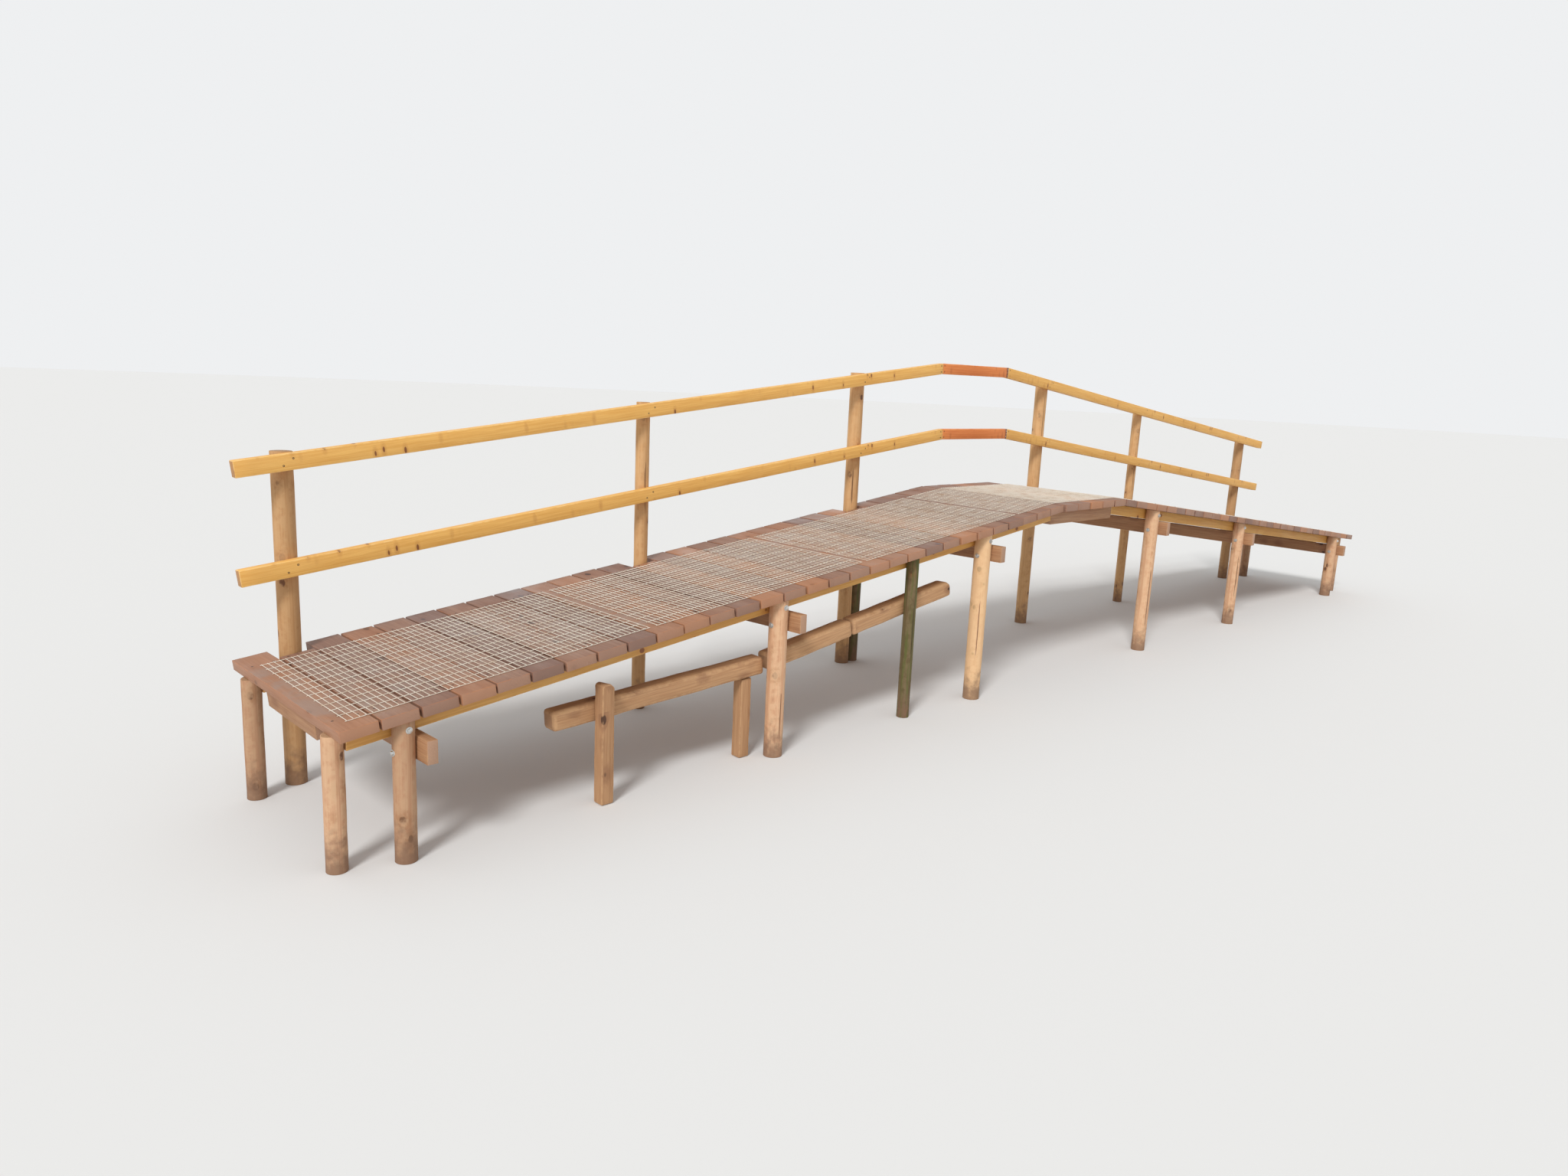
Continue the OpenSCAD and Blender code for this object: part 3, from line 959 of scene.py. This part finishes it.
edging = {
    "depth": 0.1,
    "slopes": {"left": radians(3), "middle": radians(9), "right": radians(9)},
    "tones": {"left": 0.4, "middle": 0.65, "right": 0.5},
    "edge": 0.02,
    "wear": 0.007,
    "wearSize": 0.16,
    "chamfer": 0.028,  # taken off the end of the right log
}
pegs = {"width": 0.07, "edge": 0.008, "tone": 0.3, "wear": 0.005, "wearSize": 0.08}


def makeLogs():
    depth = edging["depth"]
    for name, tilt in edging["slopes"].items():
        node = f"edging_log_{name}"
        low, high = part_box(node)
        length = (high.x - low.x - depth * sin(tilt)) / cos(tilt)
        cuts = [((length - edging["chamfer"], 0, depth), (1, 0, 1))] if name == "right" else []
        log = sawnTimber(
            (0, low.y, 0), (length, high.y, depth), 0, cuts, edge=edging["edge"], spacing=0.03, across=3,
            tone=edging["tones"][name], heart=(0, 0.01), seed=70 + len(name))
        start = Vector((low.x + depth * sin(tilt), 0, low.z))
        placeBy(log, Matrix.Translation(start) @ Matrix.Rotation(-tilt, 4, "Y"))
        finishTimber(log, node, "log", edging, smoothAngle=50)
    print("edging logs made")


def makePegs():
    # the front peg's top is broken off, the other's is cut along the underside of the left log
    low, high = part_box("edging_pegs")
    width, tilt = pegs["width"], edging["slopes"]["left"]
    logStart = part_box("edging_log_left")[0] + Vector((edging["depth"] * sin(tilt), 0, 0))
    under = logStart.z + (high.x - logStart.x) * tan(tilt)
    broken = [((low.x, low.y, high.z - 0.012), (-1, 0, 1.4)),
              ((low.x + width, low.y, high.z - 0.02), (1, 0.3, 1.2))]
    cutUnder = [(logStart, (-sin(tilt), 0, cos(tilt)))]
    pair = []
    for x, y, top, cuts in (
            (low.x, low.y, high.z, broken), (high.x - width, high.y - width, under, cutUnder)):
        pair.append(sawnTimber(
            (x, y, 0), (x + width, y + width, top), 2, cuts, edge=pegs["edge"], spacing=0.03,
            tone=pegs["tone"], seed=80 + len(pair)))
    joined = joinAll(pair, "edging_pegs_timber")
    weather(joined, pegs)
    finishPiece(joined, "log", ["edging_pegs"])
    print("pegs made")


# Wire mesh: lengthwise wires below, crosswise wires welded on top of them

wireMesh = {
    "wire": 0.003,
    "longWires": 13,
    "crossSpace": 0.0254,
    "crossRise": 0.7,  # in wires, above the lengthwise ones
    "rise": 0.3,  # in wires, above the boards
    "panelLength": 1.410,
    "gap": 0.035,
    "start": 0.060,  # bare strip at the deck's left end
    "panels": {"left": (0, 1, 2), "crest": (3,), "right": (4, 5, 6)},
    "waves": {"X": 0.00154, "Y": 0.0022, "Z": 0.0011},
    "waveSize": 0.16,
}


def panelStart(i):
    return wireMesh["start"] + i * (wireMesh["panelLength"] + wireMesh["gap"])


def longStep():
    low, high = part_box("mesh_crest")
    return (high.y - low.y - wireMesh["wire"]) / (wireMesh["longWires"] - 1)


def wireRow(length, axis, segments, count, step):
    # one wire along an axis, repeated sideways
    turn = (0, pi / 2, 0) if axis == 0 else (pi / 2, 0, 0)
    wire = newPrimitive(
        bpy.ops.mesh.primitive_cylinder_add, vertices=6, radius=wireMesh["wire"] / 2, depth=length,
        rotation=turn)
    subdivideAlong(wire, axis, length, segments - 1)
    array = wire.modifiers.new("row", "ARRAY")
    array.count = count
    array.use_relative_offset = False
    array.use_constant_offset = True
    array.constant_offset_displace = step
    applyModifiers(wire)
    return wire


def modelPanel():
    low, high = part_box("mesh_crest")
    wire, length, space = wireMesh["wire"], wireMesh["panelLength"], wireMesh["crossSpace"]
    longRow = wireRow(length, 0, 20, wireMesh["longWires"], (0, longStep(), 0))
    placeBy(longRow, Matrix.Translation((length / 2, low.y + wire / 2, 0)))
    crossCount = int(length / space) + 1
    crossRow = wireRow(high.y - low.y, 1, 12, crossCount, (space, 0, 0))
    overhang = (length - (crossCount - 1) * space) / 2
    middle = (overhang, (low.y + high.y) / 2, wire * wireMesh["crossRise"])
    placeBy(crossRow, Matrix.Translation(middle))
    return joinAll([longRow, crossRow], "panel")


def makeMesh():
    template = modelPanel()
    origins = {"left": rampLength, "crest": rampLength + bendX, "right": rampLength + 2 * bendX}
    for part, numbers in wireMesh["panels"].items():
        panels = []
        for i in numbers:
            panel = copyOf(template)
            setTone(panel, (i * 0.37 + 0.3) % 1)
            start = (panelStart(i) - origins[part], 0, wireMesh["wire"] * wireMesh["rise"])
            placeBy(panel, Matrix.Translation(start))
            panels.append(panel)
        joined = joinAll(panels, f"wire_mesh_{part}")
        if part == "crest":
            for side in (-1, 1):
                turnDown(joined, side, bendX, (side * bendX, 0, 0))
        placeBy(joined, deckSpace(part))
        cloudShift(joined, wireMesh["waveSize"], wireMesh["waves"])
        finishPiece(joined, "wire", [f"mesh_{part}"], smoothAngle=70)
    removeAll(template)
    print("wire mesh made")


# Bolts, screws and staples

bolts = {
    "washerRadius": 0.014,
    "washerThickness": 0.0025,
    "headRadius": 0.0092,
    "headHeight": 0.0065,
    "threadRadius": 0.005,
    "threadOut": 0.007,
    "seat": 0.002,  # how deep a washer sits in a round timber
    "sideways": 0.004,
    "bearerDrop": 0.01,  # below the middle of a bearer's depth
}


def turnedDisc(sides, radius, low, high, bevel):
    disc = newPrimitive(
        bpy.ops.mesh.primitive_cylinder_add, vertices=sides, radius=radius, depth=high - low,
        location=(0, 0, (low + high) / 2))
    bevelEdges(disc, lambda a, b: min(a.z, b.z) > high - 0.0001, bevel)
    return disc


def modelBolt(nut):
    # stands on the timber's face, its axis up
    thickness, top = bolts["washerThickness"], bolts["washerThickness"] + bolts["headHeight"]
    pieces = [turnedDisc(32, bolts["washerRadius"], -0.004, thickness, 0.0006),
              turnedDisc(6, bolts["headRadius"], thickness, top, 0.0012)]
    if nut:
        pieces.append(turnedDisc(20, bolts["threadRadius"], thickness, top + bolts["threadOut"], 0.0009))
    bolt = joinAll(pieces, "nut" if nut else "bolt")
    setTone(bolt, 0.9)
    return bolt


def modelScrew(radius):
    # a countersunk head with its drive sunk in
    screw = newPrimitive(
        bpy.ops.mesh.primitive_cylinder_add, vertices=14, radius=radius, depth=0.004,
        location=(0, 0, -0.0015))
    pickFaces(screw, lambda normal: normal.z > 0.9)
    bpy.ops.mesh.inset(thickness=radius * 0.14)
    bpy.ops.transform.translate(value=(0, 0, -0.0003))
    bpy.ops.mesh.inset(thickness=radius * 0.42)
    bpy.ops.mesh.extrude_region_move(TRANSFORM_OT_translate={"value": (0, 0, -0.0016)})
    backToObject()
    setTone(screw, 0.5)
    return screw


def modelStaple():
    staple = newPrimitive(
        bpy.ops.mesh.primitive_torus_add, major_radius=0.0042, minor_radius=0.0009, major_segments=14,
        minor_segments=6, rotation=(0, pi / 2, 0))
    setTone(staple, 0.6)
    return staple


def setAt(template, place, towards, twist):
    # a copy with its axis turned to point away from the timber
    turn = Vector(towards).to_track_quat("Z", "Y").to_matrix().to_4x4() @ Matrix.Rotation(twist, 4, "Z")
    fixing = copyOf(template)
    fixing.data.transform(Matrix.Translation(place) @ turn)
    return fixing


def finishFixings(placed, name, look):
    finishPiece(joinAll(placed, name), look)
    print(name.replace("_", " "), "set")


def makeBolts():
    rnd = Random(5)
    head, nut = modelBolt(False), modelBolt(True)
    placed = []
    for k in trestles:
        low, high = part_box(f"bearer_{k}")
        bearerZ = (low.z + high.z) / 2 - bolts["bearerDrop"]
        for node, out in ((f"front_pile_{k}", -1), (f"rail_post_{k}", 1)):
            middle, radius = roundPlace(node)
            x, y, sunk = middle.x + bolts["sideways"], middle.y, radius - bolts["seat"]
            stringerZ = deckTop(middle.x) - boardThickness - stringers["rampDepth"] / 2
            inner = frontSeat + stringers["width"] if out < 0 else rearSeat - stringers["width"]
            bearerFace = seatOf(node).x + crossTimber["thickness"]
            for template, place, towards in (
                    (head, (x, y + out * sunk, stringerZ), (0, out, 0)),
                    (nut, (x, inner, stringerZ), (0, -out, 0)),
                    (head, (middle.x - sunk, y, bearerZ), (-1, 0, 0)),
                    (nut, (bearerFace, y, bearerZ), (1, 0, 0))):
                placed.append(setAt(template, place, towards, rnd.uniform(0, pi)))
    removeAll(head, nut)
    finishFixings(placed, "bolts", "zinc")


screws = {
    "deckRadius": 0.0048,
    "sideways": 0.045,  # from the middle of a board
    "stray": (0.004, 0.008),  # along the bridge and across it
    "railRadius": 0.0045,
    "railSunk": 0.0007,
    "postPair": ((-0.021, -0.054), (0.02, -0.022)),  # from a post's middle and the rail's top
    "bendColumn": (-0.016, -0.036, -0.058),  # below the rail's top
}


def surfaceUnder(deck, x, y):
    # the worn top of a board at a place, or nothing over a gap
    hit, place, normal, _ = deck.ray_cast((x, y, crestTop + 0.05), (0, 0, -1))
    return (place, normal) if hit and place.z > deckTop(x) - 0.02 else None


def makeDeckScrews():
    rnd = Random(9)
    template = modelScrew(screws["deckRadius"])
    placed = []
    rampStep = pitch * cos(slope)
    for name, count, step, first in (
            ("boards_left_ramp", deckPlan["rampBoards"], rampStep, -bendX - rampLength * cos(slope)),
            ("boards_crest", deckPlan["crestBoards"], pitch, -bendX + deckPlan["boardGap"] / 2),
            ("boards_right_ramp", deckPlan["rampBoards"], rampStep, bendX + deckPlan["boardGap"])):
        deck = bpy.data.objects[name]
        for i in range(count):
            middle = first + i * step + halfBoard
            for y in stringerRows:
                for side in (-1, 1):
                    strayX, strayY = (rnd.uniform(-most, most) for most in screws["stray"])
                    found = surfaceUnder(deck, middle + side * screws["sideways"] + strayX, y + strayY)
                    if found:
                        placed.append(setAt(template, *found, rnd.uniform(0, pi)))
    removeAll(template)
    finishFixings(placed, "deck_screws", "darkSteel")


def makeRailScrews():
    rnd = Random(13)
    template = modelScrew(screws["railRadius"])
    placed, bright = [], []
    column = screws["bendColumn"]
    for level, back in rails["back"].items():
        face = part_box(f"{level}_rail_crest")[0].y + screws["railSunk"]
        for k in trestles:
            post = roundPlace(f"rail_post_{k}")[0]
            for x, z in screws["postPair"]:
                place = (post.x + x, face, railTop(level, post.x) + z)
                placed.append(setAt(template, place, (0, -1, 0), rnd.uniform(0, pi)))
        # three bright screws stand left of the right bend, dark pairs right of it and about the left bend
        for x, heights, group in (
                (bendX - 0.011, column, bright),
                (bendX + 0.02, column[::2], placed),
                (-bendX - 0.02, column[::2], placed),
                (-bendX + 0.018, column[::2], placed)):
            for z in heights:
                sideways = x - back + rnd.uniform(-0.002, 0.002)
                place = (sideways, face, railTop(level, sideways) + z)
                group.append(setAt(template, place, (0, -1, 0), rnd.uniform(0, pi)))
    removeAll(template)
    finishFixings(placed, "rail_screws", "darkSteel")
    finishFixings(bright, "bend_screws", "zinc")


staples = {
    "rows": (0, 4, 8, 12),  # the lengthwise wires that they hold
    "first": 0.05,
    "step": 0.32,
    "stray": 0.03,
    "margin": 0.02,
    "rise": 0.0012,
    "twist": 0.3,
}


def makeStaples():
    rnd = Random(17)
    template = modelStaple()
    placed = []
    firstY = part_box("mesh_crest")[0].y + wireMesh["wire"] / 2
    for i in sum(wireMesh["panels"].values(), ()):
        start = panelStart(i)
        for row in staples["rows"]:
            along = start + staples["first"] + rnd.uniform(0, 0.05)
            while along < start + wireMesh["panelLength"] - staples["margin"]:
                fromMiddle = along - rampLength - bendX
                x = fromMiddle if abs(fromMiddle) < bendX else (
                    (abs(fromMiddle) - bendX) * cos(slope) + bendX) * (-1 if fromMiddle < 0 else 1)
                place = (x, firstY + row * longStep(), deckTop(x) + staples["rise"])
                twist = rnd.uniform(-staples["twist"], staples["twist"])
                placed.append(setAt(template, place, (0, 0, 1), twist))
                along += staples["step"] + rnd.uniform(-staples["stray"], staples["stray"])
    removeAll(template)
    finishFixings(placed, "staples", "zinc")


# Floor, light and camera

camera = {
    "photoWidth": 2048,
    "focalPixels": 1383.8,
    "sensor": 36,
    "yaw": 0.7999,
    "pitch": 0.198,
    "roll": 0.0461,
    "place": (-6.5657, -4.3247, 1.9457),
}


def makeCamera():
    data = bpy.data.cameras.new("camera")
    data.sensor_fit = "HORIZONTAL"
    data.sensor_width = camera["sensor"]
    data.lens = camera["sensor"] * camera["focalPixels"] / camera["photoWidth"]
    data.clip_end = 400
    obj = bpy.data.objects.new("camera", data)
    bpy.context.scene.collection.objects.link(obj)
    turn = Matrix.Rotation(camera["yaw"] - pi / 2, 4, "Z")
    turn = turn @ Matrix.Rotation(pi / 2 - camera["pitch"], 4, "X") @ Matrix.Rotation(camera["roll"], 4, "Z")
    obj.matrix_world = Matrix.Translation(camera["place"]) @ turn
    bpy.context.scene.camera = obj
    print("camera set")


studio = {
    "floorRadius": 90,
    "floorTint": (0.78, 0.78, 0.77, 1),
    "floorRough": 0.9,
    "floorGloss": 0.2,
    "backdropTint": (0.86, 0.87, 0.88, 1),
    "worldStrength": 0.62,
    "keyStrength": 2.1,
    "keyTurn": (radians(48), 0, radians(-62)),
    "keySpread": radians(14),
}


def makeStudio():
    floor = newPrimitive(
        bpy.ops.mesh.primitive_circle_add, vertices=96, radius=studio["floorRadius"], fill_type="NGON")
    floor.name = "floor"
    material, tree, shader = newMaterial("pale floor")
    shader.inputs["Base Color"].default_value = studio["floorTint"]
    shader.inputs["Roughness"].default_value = studio["floorRough"]
    shader.inputs["Specular IOR Level"].default_value = studio["floorGloss"]
    floor.data.materials.append(material)

    # the backdrop is seen by the camera and in what shines, while the light itself stays softer
    world = bpy.data.worlds.new("studio")
    bpy.context.scene.world = world
    world.use_nodes = True
    tree = world.node_tree
    light = tree.nodes["Background"]
    light.inputs["Color"].default_value = (1.0, 1.0, 1.0, 1)
    light.inputs["Strength"].default_value = studio["worldStrength"]
    shown = addNode(tree, "ShaderNodeBackground", {"Color": studio["backdropTint"], "Strength": 1.0})
    rays = addNode(tree, "ShaderNodeLightPath", {}).outputs
    seen = calc(tree, "MAXIMUM", rays["Is Camera Ray"], rays["Is Glossy Ray"])
    seen = calc(tree, "MAXIMUM", seen, rays["Is Transmission Ray"])
    mix = addNode(tree, "ShaderNodeMixShader", {0: seen, 1: light.outputs[0], 2: shown.outputs[0]})
    tree.links.new(mix.outputs[0], tree.nodes["World Output"].inputs["Surface"])

    key = bpy.data.lights.new("key", "SUN")
    key.energy = studio["keyStrength"]
    key.angle = studio["keySpread"]
    lamp = bpy.data.objects.new("key", key)
    lamp.rotation_euler = studio["keyTurn"]
    bpy.context.scene.collection.objects.link(lamp)
    bpy.context.scene.view_settings.view_transform = "Standard"
    print("studio set")


makeCamera()
makeStudio()
materials = makeMaterials()
makeDeck()
makeStringers()
makeSplices()
makeBearers()
makeEnds()
makePosts()
makeRails()
makeLogs()
makePegs()
makeMesh()
makeBolts()
makeDeckScrews()
makeRailScrews()
makeStaples()
